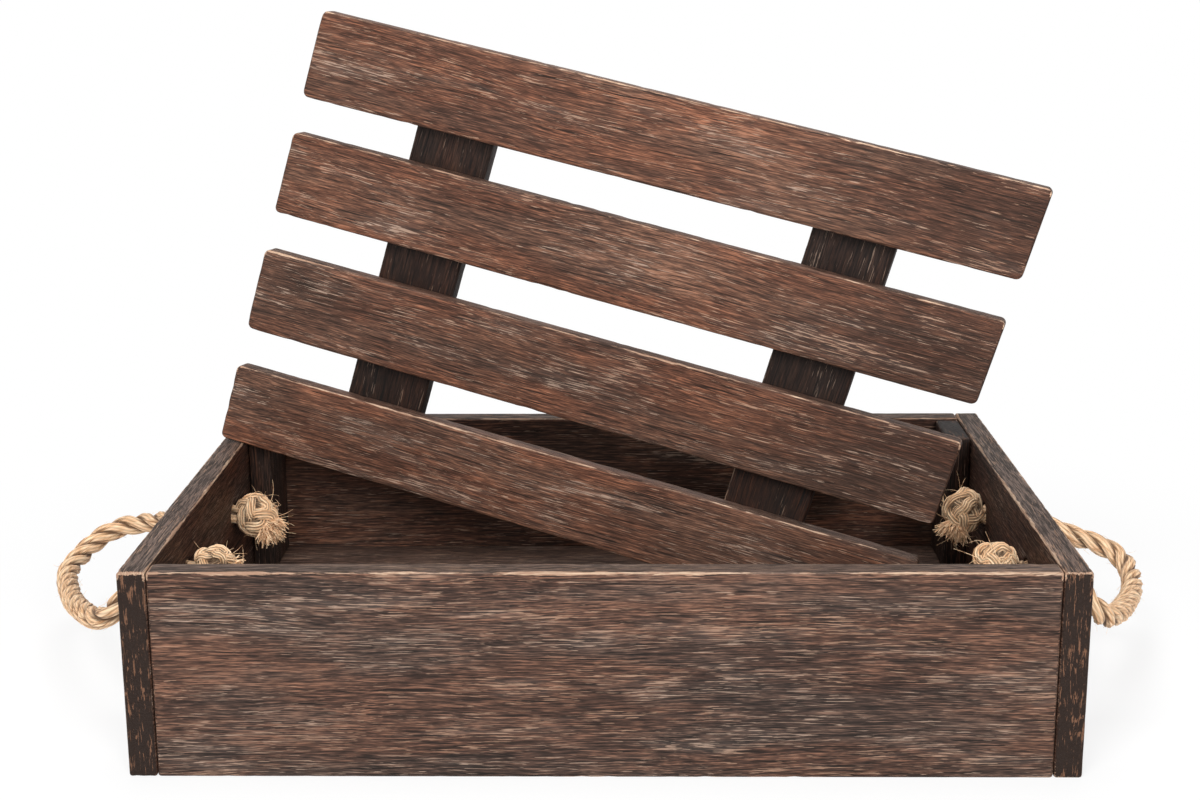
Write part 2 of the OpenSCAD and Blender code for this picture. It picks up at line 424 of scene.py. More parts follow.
def colour_ramp(tree, value, *stops):
    node = add_node(tree, "ShaderNodeValToRGB", {0: value})
    elements = node.color_ramp.elements
    while len(elements) < len(stops):
        elements.new(0.5)
    for element, (place, colour) in zip(elements, stops):
        element.position = place
        element.color = colour
    return node.outputs[0]


def tinted(colour, factor=1.0):
    """RGBA of a colour times a number, or times a number for each channel"""
    factors = factor if isinstance(factor, tuple) else (factor,) * 3
    return (*(min(1.0, c * f) for c, f in zip(colour, factors)), 1.0)


def new_group(name, **inputs):
    """A node group and its inputs. One without a default is a vector, the others are floats."""
    tree = bpy.data.node_groups.new(name, "ShaderNodeTree")
    for label, default in inputs.items():
        kind = "NodeSocketVector" if default is None else "NodeSocketFloat"
        socket = tree.interface.new_socket(label, in_out="INPUT", socket_type=kind)
        if default is not None:
            socket.default_value = default
    return tree, tree.nodes.new("NodeGroupInput").outputs


def close_group(tree, **results):
    """Gives a node group its outputs, all of them floats"""
    for label in results:
        tree.interface.new_socket(label, in_out="OUTPUT", socket_type="NodeSocketFloat")
    set_inputs(tree, tree.nodes.new("NodeGroupOutput"), results)
    return tree


def group_in(tree, name, build, values):
    """Outputs of a shared group, which is built when a material first asks for it"""
    group = bpy.data.node_groups.get(name) or build()
    return add_node(tree, "ShaderNodeGroup", values, node_tree=group).outputs


# Depths from an edge between which each kind of wear, and the painted sheen, fades
SAWN_END = (0.2 * MM, 1.2 * MM)
NEAR_END = (14 * MM, 0.0)
KEPT_END = (5 * MM, 2 * MM)
KEPT_BELOW = (2 * MM, 12 * MM)
TOP_BAND = (9 * MM, 3 * MM)
SHEEN_BAND = (1.6 * MM, 0.3 * MM)
BARE_FADE = (-0.15 * MM, 0.35 * MM)
# Share of a board's half width at which its upper edge begins and is complete
UPPER_PART = (0.3, 0.9)


def edge_wear_group():
    """Masks of a board's bare arrises, its sawn ends and the painted sheen along its upper edge"""
    tree, ins = new_group("Edge wear", Place=None, Half=None, Shift=None, Width=2.5 * MM,
                          Cover=0.5)
    gap = vector_node(tree, "SUBTRACT", ins["Half"], vector_node(tree, "ABSOLUTE", ins["Place"]))
    x, y, z = parts_of(tree, gap)
    # The middle one of the three gaps is the distance to the nearest edge
    low = math_node(tree, "MINIMUM", x, y)
    high = math_node(tree, "MAXIMUM", x, y)
    distance = math_node(tree, "MAXIMUM", low, math_node(tree, "MINIMUM", high, z))
    height, half_height = (parts_of(tree, ins[label])["Y"] for label in ("Place", "Half"))
    upper = ramp(tree, math_node(tree, "DIVIDE", height, half_height), *UPPER_PART)
    near_end = ramp(tree, x, *NEAR_END, 0.0, 0.35)
    # A board's ends meet its neighbours, so only the tops of their upright edges are rubbed
    kept = times(tree, ramp(tree, x, *KEPT_END, 0.0, 0.55), ramp(tree, y, *KEPT_BELOW))
    top = times(tree, upper, ramp(tree, y, *TOP_BAND))
    lift = minus(tree, times(tree, top, plus(tree, near_end, 0.5)), kept)
    where = vector_node(tree, "ADD", ins["Place"], ins["Shift"])
    patches = noise_node(tree, where, (16, 34, 34), detail=2.0)
    ragged = noise_node(tree, where, (80, 800, 800), roughness=0.65)
    cover = plus(tree, times(tree, patches, 2.4), minus(tree, plus(tree, ins["Cover"], lift), 1.7))
    spread = plus(tree, cover, times(tree, minus(tree, ragged, 0.5), 2.0))
    reach = times(tree, math_node(tree, "MAXIMUM", spread, 0.0), ins["Width"])
    # The last mask is the painted sheen along the upper edge
    return close_group(tree, Wear=ramp(tree, minus(tree, reach, distance), *BARE_FADE),
                       End=ramp(tree, x, *SAWN_END, 1.0, 0.0),
                       Rim=times(tree, upper, ramp(tree, y, *SHEEN_BAND)))


# Noises of the grain: how often each repeats in a metre along, across and through the board, and
# its detail, roughness and distortion. Those of the second table don't follow the wandering grain.
GRAIN_MARKS = {
    "broad": ((5, 120, 120), 2.0, 0.6), "middle": ((30, 680, 680), 2.0, 0.7),
    "fine": ((70, 1150, 1150), 2.0, 0.7), "thread": ((48, 1150, 1150), 2.0, 0.65),
    "crack": ((17, 620, 620), 1.0), "tint": ((6, 34, 34), 3.0, 0.6),
    "grey": ((10, 60, 60), 4.0, 0.65),
}
STRAIGHT_MARKS = {"patches": ((5, 17, 17), 4.0, 0.6), "sawn": ((300, 60, 620), 3.0, 0.7, 1.1)}
# How far the grain wanders, and the levels of noise between which its marks fade in
WANDER = 14 * MM
CRACK_LEVELS = (0.34, 0.28)
STREAK_LEVELS = (0.60, 0.645)
STROKE_LEVELS = (0.57, 0.63)


def brushed_grain_group():
    """Grain of a wire-brushed board: fine fibres of three sizes, sparse light streaks, slow
    patches, and the strokes of an end that is sawn across the grain"""
    tree, ins = new_group("Brushed grain", Place=None, Shift=None, Streaks=0.5, Contrast=3.4)
    where = vector_node(tree, "ADD", ins["Place"], ins["Shift"])
    # The grain wanders slowly across the board
    bend = noise_node(tree, where, (4, 12, 12), detail=2.0, output="Color")
    swing = vector_node(tree, "SUBTRACT", bend, (0.5, 0.5, 0.5))
    swing = vector_node(tree, "MULTIPLY", swing, (0.0, WANDER, WANDER))
    bent = vector_node(tree, "ADD", where, swing)
    marks = {label: noise_node(tree, bent, *values) for label, values in GRAIN_MARKS.items()}
    for label, values in STRAIGHT_MARKS.items():
        marks[label] = noise_node(tree, where, *values)

    def off(label, share):
        return times(tree, minus(tree, marks[label], 0.5), share)
    mixed = plus(tree, off("broad", 0.13), off("middle", 0.36), off("fine", 0.58))
    # Narrow dark cracks follow the grain
    slow = minus(tree, off("patches", 0.24), ramp(tree, marks["crack"], *CRACK_LEVELS, 0.0, 0.2))
    tone = math_node(tree, "ADD", times(tree, plus(tree, mixed, slow), ins["Contrast"]), 0.5,
                     clamp=True)
    wanted = times(tree, minus(tree, ins["Streaks"], 0.5), 0.22)
    light = ramp(tree, plus(tree, marks["thread"], off("grey", 0.55), wanted), *STREAK_LEVELS)
    strokes = ramp(tree, plus(tree, marks["sawn"], off("grey", 0.5)), *STROKE_LEVELS)
    return close_group(tree, Tone=tone, Light=light, Tint=marks["tint"], Grey=marks["grey"],
                       Strokes=strokes, Height=plus(tree, tone, times(tree, light, 0.3)))


def fibre_group():
    """Fine jute fibres that run along a strand, read from the strand's own lay attribute"""
    tree, ins = new_group("Jute fibre", Lay=None, Twist=0.25)
    along, around, strand = parts_of(tree, ins["Lay"])
    slant = plus(tree, around, times(tree, along, ins["Twist"]))
    flat = add_node(tree, "ShaderNodeCombineXYZ", {0: along, 1: slant, 2: strand}).outputs[0]
    fibre = noise_node(tree, flat, (110, 1500, 31), roughness=0.6)
    yarn = noise_node(tree, flat, (45, 520, 17), detail=2.0)
    return close_group(tree, Fibre=plus(tree, times(tree, fibre, 0.55), times(tree, yarn, 0.45)),
                       Tone=noise_node(tree, flat, (60, 240, 11)))


def new_material(name):
    material = bpy.data.materials.new(name)
    material.use_nodes = True
    tree = material.node_tree
    return material, tree, tree.nodes["Principled BSDF"]


def attribute(tree, name):
    return add_node(tree, "ShaderNodeAttribute", attribute_name=name).outputs["Vector"]


# Factors on other colours: the stain where it is reddish, the painted sheen on the upper edge
# where it is dark and light, a sawn end's stain and its bare strokes, and the jute where it is
# brown
REDDISH = (1.14, 0.93, 0.82, 1.0)
SHEEN_DARK = (0.34, 0.29, 0.25)
SHEEN_LIGHT = (1.65, 1.5, 1.4)
SAWN_STAIN = (0.52, 0.42, 0.33)
SAWN_STROKE = (0.62, 0.5, 0.42)
BROWN_JUTE = (0.72, 0.60, 0.48, 1.0)


def stained_timber(name, depth=1.0, streaks=0.5, wear=0.5, grey=1.0, width=1.7 * MM, red=1.0,
                   contrast=3.9, warmth=0.0, far_shade=0.0):
    """Stained and brushed wood. Depth darkens it, one value paints shade towards the board's far
    end, grey also sets the painted sheen on its upper edge, and the others set how worn it is.
    """
    found = bpy.data.materials.get(name)
    if found:
        return found
    timber = settings()[0]
    material, tree, shader = new_material(name)
    place, half, shift = (attribute(tree, a) for a in ("place", "half", "shift"))
    grain = group_in(tree, "Brushed grain", brushed_grain_group,
                     {"Place": place, "Shift": shift, "Streaks": streaks, "Contrast": contrast})
    edges = group_in(tree, "Edge wear", edge_wear_group,
                     {"Place": place, "Half": half, "Shift": shift, "Width": width,
                      "Cover": wear})
    tint = (depth * (1 + 0.8 * warmth), depth * (1 - 0.3 * warmth), depth * (1 - warmth))
    groove, stain, brown, worn = (tinted(colour, tint) for colour in
                                  (timber.groove, timber.stain, timber.brown, timber.worn))
    wash = tinted(timber.wash, depth)
    bare, cream = (tinted(colour, 0.35 + 0.65 * depth) for colour in (timber.bare, timber.cream))
    pale = tinted(timber.pale, 0.4 + 0.6 * depth)
    tone = grain["Tone"]
    colour = colour_ramp(tree, tone, (0.0, groove), (0.34, stain), (0.66, brown), (1.0, worn))
    reddish = mix_colour(tree, 1.0, colour, REDDISH, "MULTIPLY")
    colour = mix_colour(tree, ramp(tree, grain["Tint"], 0.38, 0.60, 0.0, red), colour, reddish)
    # Painted shade: the board is darkened towards its far end, where less light falls
    along = parts_of(tree, place)["X"]
    colour = mix_colour(tree, ramp(tree, along, 0.02, 0.24, 0.0, far_shade), colour, groove)
    colour = mix_colour(tree, ramp(tree, grain["Grey"], 0.50, 0.74, 0.0, 0.5 * grey), colour, wash)
    # Painted sheen: the upper edge and top face are painted grey, as if light glanced off them
    painted_sheen = mix_colour(tree, ramp(tree, tone, 0.25, 0.75), tinted(wash, SHEEN_DARK),
                        tinted(wash, SHEEN_LIGHT))
    colour = mix_colour(tree, times(tree, edges["Rim"], 0.72 * grey), colour, painted_sheen)
    streak = mix_colour(tree, ramp(tree, grain["Tint"], 0.4, 0.6), pale, bare)
    colour = mix_colour(tree, times(tree, grain["Light"], 0.72), colour, streak)
    # The sawn ends are dark with a few bare strokes
    sawn = mix_colour(tree, times(tree, grain["Strokes"], 0.7), tinted(stain, SAWN_STAIN),
                      tinted(bare, SAWN_STROKE))
    colour = mix_colour(tree, edges["End"], colour, sawn)
    bared = mix_colour(tree, ramp(tree, tone, 0.3, 0.9), bare, cream)
    colour = mix_colour(tree, times(tree, edges["Wear"], 0.94), colour, bared)
    set_inputs(tree, shader, {"Base Color": colour, "Specular IOR Level": 0.2,
                              "Roughness": ramp(tree, tone, 0.2, 0.8, 0.70, 0.56),
                              "Normal": bump(tree, grain["Height"], 0.7, 0.5 * MM)})
    return material


# How far each jute's colours are lifted, and the factor on the shade colour that is painted as
# shade in its grooves
JUTES = {"Laid jute": (1.05, 0.45), "Knotted jute": (1.08, 0.16), "Loose jute": (1.15, 0.45)}


def jute_material(name):
    found = bpy.data.materials.get(name)
    if found:
        return found
    rope = settings()[1]
    lift, groove = JUTES[name]
    material, tree, shader = new_material(name)
    fibre = group_in(tree, "Jute fibre", fibre_group,
                     {"Lay": attribute(tree, "lay"), "Twist": 0.28})
    shaded, jute, pale = (tinted(colour, lift) for colour in (rope.shade, rope.jute, rope.pale))
    colour = colour_ramp(tree, fibre["Fibre"], (0.36, shaded), (0.46, jute), (0.57, pale))
    brown = mix_colour(tree, 1.0, colour, BROWN_JUTE, "MULTIPLY")
    colour = mix_colour(tree, ramp(tree, fibre["Tone"], 0.50, 0.30, 0.0, 0.85), colour, brown)
    # Painted shade darkens the grooves between strands and yarns
    sunk = parts_of(tree, attribute(tree, "sunk"))["X"]
    colour = mix_colour(tree, times(tree, sunk, 0.9), colour, tinted(rope.shade, groove))
    set_inputs(tree, shader, {"Base Color": colour, "Roughness": 0.72, "Sheen Weight": 0.1,
                              "Specular IOR Level": 0.3,
                              "Normal": bump(tree, fibre["Fibre"], 0.9, 0.6 * MM)})
    return material


def screw_material():
    material, tree, shader = new_material("Dull zinc")
    where = add_node(tree, "ShaderNodeTexCoord").outputs["Object"]
    stain = noise_node(tree, where, (700, 700, 700))
    colour = mix_colour(tree, ramp(tree, stain, 0.45, 0.65), (0.26, 0.25, 0.24, 1.0),
                        (0.13, 0.085, 0.06, 1.0))
    set_inputs(tree, shader, {"Base Color": colour, "Metallic": 0.9,
                              "Roughness": ramp(tree, stain, 0.3, 0.7, 0.36, 0.62)})
    return material


# Rope handles

HALF_LENGTH = 0.300
WALL = 0.018
HOLES = {"rear": (0.060, 0.092), "front": (-0.090, 0.099)}
# Radius of a rope's hole, and its depth to both sides of the board's middle
ROPE_HOLE = (10 * MM, 16 * MM)
# Routes of the loops in millimetres: out from the end board, then Y and Z from the nearer hole
LOOPS = {
    "left": (-1,
             ((14, 4, -2), (31, 17, -8), (49, 31, -15), (66, 39, -19), (82, 40, -23),
              (96, 34, -30), (105, 19, -37), (108, -4, -41), (103, -28, -42)),
             ((94, 96, -47), (84, 70, -45), (72, 43, -41), (59, 17, -36), (47, -4, -32),
              (35, -18, -26), (24, -23, -16), (12, -9, -4))),
    "right": (1,
              ((14, 1, -2), (31, 5, -10), (49, 9, -18), (64, 12, -24), (77, 11, -29),
               (87, 2, -35), (89, -18, -40), (84, -43, -42)),
              ((76, 82, -47), (66, 56, -43), (56, 30, -38), (45, 7, -33), (34, -12, -27),
               (23, -21, -17), (12, -8, -4))),
}


def rope_route(side, rear, front):
    def points(hole, places):
        return [Vector((side * (HALF_LENGTH + out * MM), hole[0] + y * MM, hole[1] + z * MM))
                for out, y, z in places]
    in_hole = [(-WALL / MM, 0, 0), (0, 0, 0)]
    return points(HOLES["rear"], in_hole + list(rear)) + points(
        HOLES["front"], list(front) + in_hole[::-1])


ROPE_STEP = 1.7 * MM
FINE_STEPS = 24
# Any direction across which no path here runs
ANY_WAY = Vector((0.13, 0.21, 0.97))


def distances(points):
    """How far along the points each of them lies"""
    gone = [0.0]
    for a, b in zip(points, points[1:]):
        gone.append(gone[-1] + (b - a).length)
    return gone


def smooth_curve(points, step=ROPE_STEP):
    """Even points, about a step apart, on a smooth curve through the given ones"""
    ends = [2 * points[0] - points[1]] + list(points) + [2 * points[-1] - points[-2]]
    fine = []
    for k in range(1, len(ends) - 2):
        a, b, c, d = ends[k - 1:k + 3]
        for j in range(FINE_STEPS):
            t = j / FINE_STEPS
            fine.append(0.5 * (2 * b + (c - a) * t + (2 * a - 5 * b + 4 * c - d) * t * t
                               + (3 * b - a - 3 * c + d) * t ** 3))
    fine.append(points[-1].copy())
    reach = distances(fine)
    count = max(2, round(reach[-1] / step))
    even, k = [], 0
    for j in range(count + 1):
        want = reach[-1] * j / count
        while k < len(reach) - 2 and reach[k + 1] < want:
            k += 1
        span = reach[k + 1] - reach[k]
        even.append(fine[k].lerp(fine[k + 1], (want - reach[k]) / span if span else 0))
    return even


def frames_along(points):
    """A tangent and two cross directions at each point, turned as little as possible"""
    frames, across = [], ANY_WAY
    for k, here in enumerate(points):
        ahead = points[min(k + 1, len(points) - 1)] - points[max(k - 1, 0)]
        ahead.normalize()
        across = (across - ahead * across.dot(ahead)).normalized()
        frames.append((ahead, across, ahead.cross(across)))
    return frames


# What sets each tube's fibres apart from the next one's, and how dark the painted shade in the
# grooves of its yarns is
TUBE_SHIFT = 0.37
YARN_SHADE = 8


class Bundle:
    """Collects swept tubes into one mesh. Its lay attribute holds metres along, metres around and
    a number for each tube, and a second attribute says how deep a point lies between others, for
    the shade painted there."""

    def __init__(self):
        self.points, self.faces, self.lay, self.sunk = [], [], [], []
        self.tubes = 0

    def sweep(self, path, radius, sides, lobes=0, lobe_turn=0.0, depth=None, ridge=0.07):
        """A tube along a path, whose lobes are yarns that run round it by a turn for each metre"""
        base = len(self.points)
        rows = zip(path, frames_along(path), distances(path))
        for k, (here, (_, u, v), gone) in enumerate(rows):
            size = radius(k / (len(path) - 1)) if callable(radius) else radius
            for j in range(sides):
                a = 2 * math.pi * j / sides
                wave = 1.0
                if lobes:
                    wave = 1 - ridge + ridge * math.cos(lobes * a + lobe_turn * gone)
                point = here + (u * math.cos(a) + v * math.sin(a)) * size * wave
                self.points.append(point)
                self.lay.append((gone, size * a, self.tubes * TUBE_SHIFT))
                # Points deep between yarns and tubes get painted shade
                between = (1.0 - wave) / (2 * ridge)
                sunk = (depth(k, point) if depth else 0.0) + YARN_SHADE * ridge * between ** 2
                self.sunk.append((min(1.0, sunk), 0.0, 0.0))
        for k in range(len(path) - 1):
            for j in range(sides):
                a = base + k * sides + j
                b = base + k * sides + (j + 1) % sides
                self.faces.append((a, b, b + sides, a + sides))
        self.faces.append(tuple(range(base + sides - 1, base - 1, -1)))
        last = base + (len(path) - 1) * sides
        self.faces.append(tuple(range(last, last + sides)))
        self.tubes += 1

    def make(self, name, material):
        obj = mesh_object(name, self.points, self.faces)
        set_vectors(obj, "lay", self.lay)
        set_vectors(obj, "sunk", self.sunk)
        obj.data.materials.append(material)
        shade(obj, 60)
        return obj


def fade(value, low, high):
    t = min(1.0, max(0.0, (value - low) / (high - low)))
    return t * t * (3 - 2 * t)


# Strands of a rope, the yarns on each, and a strand's radius as a share of the rope's diameter
STRANDS = 3
YARNS = 8
STRAND_SHARE = 0.252
# Distances from the rope's middle, as shares of its diameter, where the painted shade of the
# groove between strands begins and is full
SHADED_GROOVE = (0.46, 0.31)


def lay_strands(bundle, path, diameter, lay, sides=26):
    """Three strands laid round a path, each with small yarn ridges"""
    strand = STRAND_SHARE * diameter
    centre = 0.5 * diameter - strand
    frames, gone = frames_along(path), distances(path)

    # Painted shade: points deep between the strands are darkened
    def depth(k, point):
        return fade((point - path[k]).length, SHADED_GROOVE[0] * diameter, SHADED_GROOVE[1] * diameter)
    for s in range(STRANDS):
        line = []
        for here, (_, u, v), reach in zip(path, frames, gone):
            a = 2 * math.pi * (s / STRANDS + reach / lay) + 0.25 * noise.noise(here * 40)
            wobble = 1 + 0.07 * noise.noise(here * 130 + Vector((s, 0, 0)))
            line.append(here + (u * math.cos(a) + v * math.sin(a)) * centre * wobble)
        bundle.sweep(line, strand, sides, lobes=YARNS, lobe_turn=-2 * math.pi / (0.75 * lay),
                     depth=depth)


# Steps of a loose fibre, its sides, and how much each step lets it hang
FIBRE_STEPS = 9
FIBRE_SIDES = 4
FIBRE_SAG = Vector((0, 0, -0.04))


def random_vector(random, reach):
    return Vector([random.uniform(-reach, reach) for _ in range(3)])


def stray_fibre(bundle, random, start, direction, length, thickness, curl=0.16, depth=None):
    """One loose fibre that curls as it leaves the rope"""
    turn = random_vector(random, 1)
    path, here, ahead = [start.copy()], start.copy(), direction.normalized()
    for _ in range(FIBRE_STEPS):
        ahead = (ahead + turn * curl + FIBRE_SAG).normalized()
        here = here + ahead * length / FIBRE_STEPS
        path.append(here.copy())
    bundle.sweep(path, lambda t: thickness * (1 - 0.5 * t), FIBRE_SIDES, depth=depth)


ROPE_FIBRES = 150


def make_rope(side_name):
    rope = settings()[1]
    side, rear, front = LOOPS[side_name]
    path = smooth_curve(rope_route(side, rear, front))
    bundle = Bundle()
    lay_strands(bundle, path, rope.diameter, rope.lay)
    obj = bundle.make(side_name + "_rope_strands", jute_material("Laid jute"))
    finish_piece(obj, "jute", side_name + "_rope")
    random = Random(11 if side < 0 else 12)
    fuzz = Bundle()
    frames = frames_along(path)
    for _ in range(ROPE_FIBRES):
        k = random.randrange(12, len(path) - 12)
        ahead, u, v = frames[k]
        a = random.uniform(0, 2 * math.pi)
        out = u * math.cos(a) + v * math.sin(a)
        start = path[k] + out * rope.diameter * 0.46
        stray_fibre(fuzz, random, start, out * 0.3 + ahead * random.choice((-1, 1)),
                    random.uniform(2.5, 8) * MM, random.uniform(0.08, 0.13) * MM)
    loose = fuzz.make(side_name + "_rope_fuzz", jute_material("Loose jute"))
    finish_piece(loose, "jute")
    return obj, loose, path


# Each knot: the way its frayed end points, its turn about that way, the share of its brush, and
# in millimetres its size, its middle's distance from the end board and its height above the hole
KNOTS = {
    "left_rear": ((0.72, -0.52, -0.46), 20, 1.0, 35, 17.5, 0),
    "left_front": ((0.80, 0.20, -0.30), 65, 0.7, 30, 17.5, 4),
    "right_rear": ((-0.45, -0.52, -0.75), -35, 1.0, 34, 15.5, 4),
    "right_front": ((-0.45, -0.80, -0.25), 10, 0.7, 33, 20, 5),
}


# The strand that weaves a knot: its leads and bights, its points, how far it swings to the poles,
# how it sways, dips under and over itself and lies uneven, its yarns, and their turn in a metre
LEADS, BIGHTS = 5, 6
WEAVE_POINTS = 360
WEAVE_REACH = math.radians(66)
WEAVE_SWAY = 0.34
WEAVE_DIP = 1.8 * MM
WEAVE_UNEVEN = 1.6 * MM
WEAVE_YARNS = 11
YARN_TURN = 2 * math.pi / (26 * MM)
# Turns and points of the spiral that fills a knot, and the fibres of a whole brush
FILLING_TURNS = 4.5
FILLING_POINTS = 140
BRUSH_FIBRES = 150
# The rope inside a knot, drawn a little tight
CORE_DIAMETER = 15 * MM


def make_knot(name, side, hole, seed):
    """A ball-shaped stopper knot, woven round the rope's end, which is frayed to a brush"""
    rope = settings()[1]
    tail, roll, brush, size, off, lift = KNOTS[name]
    size = size * MM
    tail = Vector(tail).normalized()
    inner = side * (HALF_LENGTH - WALL)
    middle = Vector((inner - side * off * MM, hole[0], hole[1] + lift * MM))
    turn = UP.rotation_difference(tail).to_matrix()
    turn = turn @ Matrix.Rotation(math.radians(roll), 3, "Z")
    thick = 0.13 * size
    wrap = size / 2 - thick - 1.6 * MM
    random = Random(seed)
    bundle = Bundle()

    # Painted shade: points deep in the ball are darkened
    def depth(k, point):
        return fade((point - middle).length, 0.44 * size, 0.37 * size)

    def sway(way, t):
        return Vector([noise.noise(way * 1.9 + Vector((seed + 7 * axis, t * 0.6, 3 * axis)))
                       for axis in range(3)])
    # One strand is woven over and under itself
    path = []
    for k in range(WEAVE_POINTS + 1):
        t = 2 * math.pi * k / WEAVE_POINTS
        lat = WEAVE_REACH * math.cos(BIGHTS * t) + 0.14 * math.sin(t + seed)
        flat = Vector((math.cos(lat) * math.cos(LEADS * t), math.cos(lat) * math.sin(LEADS * t),
                       math.sin(lat)))
        flat = (flat + WEAVE_SWAY * sway(flat, t)).normalized()
        r = wrap + WEAVE_DIP * math.sin(3 * BIGHTS * t) + WEAVE_UNEVEN * noise.noise(
            flat * 1.6 + Vector((seed, 0, 0)))
        point = middle + turn @ (flat * r)
        point.x = side * min(abs(point.x), HALF_LENGTH - WALL - thick)
        path.append(point)
    bundle.sweep(path[:-1] + [path[0]], lambda t: thick * (1 + 0.1 * math.sin(40 * t)), 44,
                 lobes=WEAVE_YARNS, lobe_turn=YARN_TURN, depth=depth, ridge=0.12)
    # Turns of the same strand fill the ball below them
    filling = []
    for k in range(FILLING_POINTS):
        t = k / (FILLING_POINTS - 1)
        lat = math.pi * (t - 0.5)
        a = 2 * math.pi * FILLING_TURNS * t
        flat = Vector((math.cos(lat) * math.cos(a), math.sin(lat), math.cos(lat) * math.sin(a)))
        filling.append(middle + turn @ (flat * (wrap - 1.2 * MM)))
    bundle.sweep(filling, 3.2 * MM, 20, lobes=6, lobe_turn=YARN_TURN, depth=depth)
    # The rope itself, from its hole through the ball's middle
    root = middle + tail * 0.3 * size
    core = smooth_curve([Vector((inner - side * 0.3 * MM, *hole)),
                         Vector((inner - side * 5 * MM, *hole)), middle, root])
    lay_strands(bundle, core, CORE_DIAMETER, rope.lay, sides=18)
    side_way = tail.orthogonal().normalized()
    up_way = tail.cross(side_way)
    for _ in range(round(BRUSH_FIBRES * brush)):
        a, r = random.uniform(0, 2 * math.pi), math.sqrt(random.random())
        spread = side_way * math.cos(a) * r + up_way * math.sin(a) * r
        start = root + spread * 5.5 * MM
        # Painted shade: the brush's fibres darken towards the ball
        stray_fibre(bundle, random, start, tail + spread * 0.75,
                    random.uniform(10, 17) * MM * brush, random.uniform(0.35, 0.75) * MM, 0.07,
                    lambda step, point: max(0.0, 0.8 - 0.22 * step))
    obj = bundle.make(name + "_knot", jute_material("Knotted jute"))
    hairs = Bundle()
    for _ in range(rope.fibres):
        start = random.choice(path)
        out = (start - middle).normalized()
        if side * out.x > 0.2:
            continue
        out = (out + random_vector(random, 0.7)).normalized()
        stray_fibre(hairs, random, start + out * thick * 0.8, out, random.uniform(7, 19) * MM,
                    random.uniform(0.14, 0.2) * MM, 0.32)
    for _ in range(rope.fibres // 2):
        start = root + tail * random.uniform(3, 10) * MM * brush
        out = (tail + random_vector(random, 0.9)).normalized()
        stray_fibre(hairs, random, start, out, random.uniform(8, 19) * MM,
                    random.uniform(0.14, 0.2) * MM, 0.3)
    loose = hairs.make(name + "_knot_fibres", jute_material("Loose jute"))
    finish_piece(loose, "jute")
    return obj, loose


# Screws

SCREW_GROUPS = ("corner_screws", "floor_screws", "cleat_screws", "lid_screws")
# Radius of a head and of its shank, height of the whole head, and ridges and grooves of the thread
HEAD_RADIUS = 4 * MM
SHANK_RADIUS = 2 * MM
HEAD_HEIGHT = 3 * MM
THREAD_STEPS = 30
# Thickness of a head's disc, then how far down and how narrow each next part of it is, and the
# size of one slot of its cross recess
HEAD_DISC = 0.5 * MM
HEAD_PARTS = ((2.1, 0.5), (0.6, 1.0))
RECESS = (4.2 * MM, 0.9 * MM, 2.6 * MM)
# Radius of a head's clearance in the wood, and its depth
HEAD_HOLE = (4.15 * MM, 2.4 * MM)


def screw_places(node):
    """Head middle, direction out of the head and length of each screw in a CAD node"""
    mesh = bmesh.new()
    mesh.from_mesh(NODES[node].data)
    bmesh.ops.remove_doubles(mesh, verts=mesh.verts, dist=1e-6)
    seen, places = set(), []
    for first in mesh.verts:
        if first in seen:
            continue
        island, queue = [], [first]
        seen.add(first)
        while queue:
            vert = queue.pop()
            island.append(vert.co[:])
            for edge in vert.link_edges:
                other = edge.other_vert(vert)
                if other not in seen:
                    seen.add(other)
                    queue.append(other)
        points = np.array(island)
        middle = points.mean(0)
        axis = np.linalg.svd(points - middle)[2][0]
        reach = (points - middle) @ axis
        off = np.linalg.norm(points - middle - np.outer(reach, axis), axis=1)
        if reach[off.argmax()] < 0:
            axis, reach = -axis, -reach
        top = reach > reach.max() - 0.05 * MM
        head = points[top].mean(0)
        places.append((Vector(head.tolist()), Vector(axis.tolist()), float(np.ptp(reach))))
    mesh.free()
    return sorted(places, key=lambda p: tuple(round(c, 5) for c in p[0]))


def model_screw():
    """One countersunk head with a cross recess, its top at the origin, and the neck below it"""
    screw = add_primitive("cylinder", vertices=32, radius=HEAD_RADIUS, depth=HEAD_DISC,
                          location=(0, 0, -HEAD_DISC / 2))
    screw.name = "screw"
    bpy.ops.object.transform_apply(location=True)
    bpy.ops.object.mode_set(mode="EDIT")
    bpy.ops.mesh.select_mode(type="FACE")
    for depth, ratio in HEAD_PARTS:
        bpy.ops.mesh.select_all(action="DESELECT")
        mesh = bmesh.from_edit_mesh(screw.data)
        min(mesh.faces, key=lambda f: f.calc_center_median().z).select_set(True)
        bmesh.update_edit_mesh(screw.data)
        bpy.ops.mesh.extrude_region_move(TRANSFORM_OT_translate={"value": (0, 0, -depth * MM)})
        bpy.ops.transform.resize(value=(ratio, ratio, 1), center_override=(0, 0, 0))
    bpy.ops.object.mode_set(mode="OBJECT")
    for turn in (0, math.pi / 2):
        recess = add_primitive("cube", size=1, rotation=(0, 0, turn))
        recess.scale = RECESS
        bpy.ops.object.transform_apply(location=True, rotation=True, scale=True)
        cut_away(screw, recess)
    return screw


